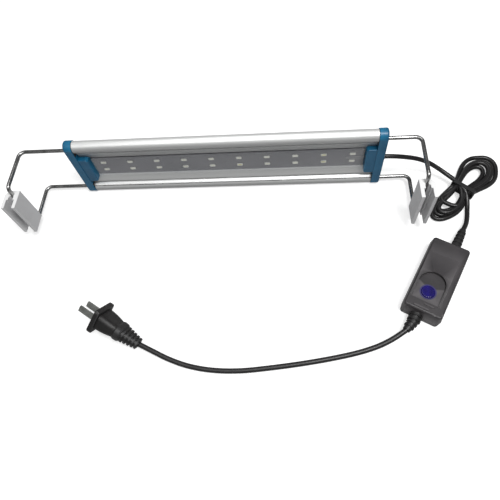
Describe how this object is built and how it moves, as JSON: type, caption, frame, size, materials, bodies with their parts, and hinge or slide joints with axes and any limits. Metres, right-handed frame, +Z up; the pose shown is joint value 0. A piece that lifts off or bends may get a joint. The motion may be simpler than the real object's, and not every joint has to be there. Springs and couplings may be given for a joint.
{
  "type": "led aquarium light",
  "caption": "Slim LED light bar for a fish tank, with sliding wire brackets, swivelling glass clips and a corded inline driver with a push button.",
  "frame": {"origin": "middle of the flat along the lower rail that the lamp stands on", "axes": "+X along the lamp towards the cord end, -Y the side the light comes out of, +Z up while the lamp stands on its long edge"},
  "size_m": [0.5208, 0.2443, 0.0789],
  "materials": {
    "anodised_aluminium": "satin anodised, drawn lengthwise",
    "grey_rubber": "soft",
    "board_white": "solder mask",
    "led": "clear resin over phosphor",
    "clear_cover": "clear acrylic",
    "blue_plastic": "moulded, semi-gloss",
    "black_rubber": "moulded",
    "screw_steel": "zinc plated",
    "black_plastic": "moulded",
    "lead_insulation": "extruded",
    "cord_black": "extruded PVC, satin",
    "driver_plastic": "moulded, fine texture",
    "board_green": "solder mask",
    "copper": "varnished winding",
    "capacitor_sleeve": "shrink sleeve",
    "glow_ring": "translucent",
    "plug_black": "moulded on",
    "blade_metal": "nickel-plated brass",
    "wire_steel": "polished stainless wire",
    "grey_plastic": "extruded, semi-gloss",
    "blue_button": "translucent, lit"
  },
  "bodies": {
    "lamp": {"housing": "anodised_aluminium", "thermal_pad": "grey_rubber", "led_board": "board_white", "led_chips": "led", "board_resistors": "black_plastic", "cover_lens": "clear_cover", "end_cap_left": "blue_plastic", "end_cap_right": "blue_plastic", "cap_gasket_left": "black_rubber", "cap_gasket_right": "black_rubber", "end_cap_screws_left": "screw_steel", "end_cap_screws_right": "screw_steel", "arm_bushes_left": "black_plastic", "arm_bushes_right": "black_plastic", "cable_grommet": "black_rubber", "supply_leads": "lead_insulation", "lamp_cord": "cord_black", "cord_hank": "cord_black", "cord_tie": "black_plastic", "driver_lead": "cord_black", "driver_relief_dc": "black_rubber", "driver_relief_mains": "black_rubber", "driver_case_base": "driver_plastic", "driver_case_top": "driver_plastic", "driver_screws": "screw_steel", "driver_board": "board_green", "transformer": "copper", "driver_capacitors": "capacitor_sleeve", "tact_switch": "black_plastic", "button_ring": "glow_ring", "mains_cord": "cord_black", "plug_body": "plug_black", "plug_blades": "blade_metal", "plug_relief": "plug_black"},
    "left_bracket": {"bracket_wire_left": "wire_steel", "arm_collars_left": "screw_steel"},
    "right_bracket": {"bracket_wire_right": "wire_steel", "arm_collars_right": "screw_steel"},
    "left_clip": {"glass_clip_left": "grey_plastic"},
    "right_clip": {"glass_clip_right": "grey_plastic"},
    "button": {"power_button": "blue_button", "switch_plunger": "black_plastic"}
  },
  "joints": [
    {"name": "left_bracket_slide", "type": "slide", "parent": "lamp", "child": "left_bracket", "axis": [-1, 0, 0], "range_m": [-0.0421, 0.0024]},
    {"name": "right_bracket_slide", "type": "slide", "parent": "lamp", "child": "right_bracket", "axis": [1, 0, 0], "range_m": [-0.0238, 0.0207]},
    {"name": "left_clip_swivel", "type": "hinge", "parent": "left_bracket", "child": "left_clip", "pos_m": [-0.2171, -0.0503, 0.0376], "axis": [0, 0, 1], "continuous": true},
    {"name": "right_clip_swivel", "type": "hinge", "parent": "right_bracket", "child": "right_clip", "pos_m": [0.1988, -0.0503, 0.0376], "axis": [0, 0, 1], "continuous": true},
    {"name": "button_press", "type": "slide", "parent": "lamp", "child": "button", "axis": [0, 0, -1], "range_m": [0, 0.001], "stiffness_N_per_m": 300, "springref_m": -0.0006}
  ]
}
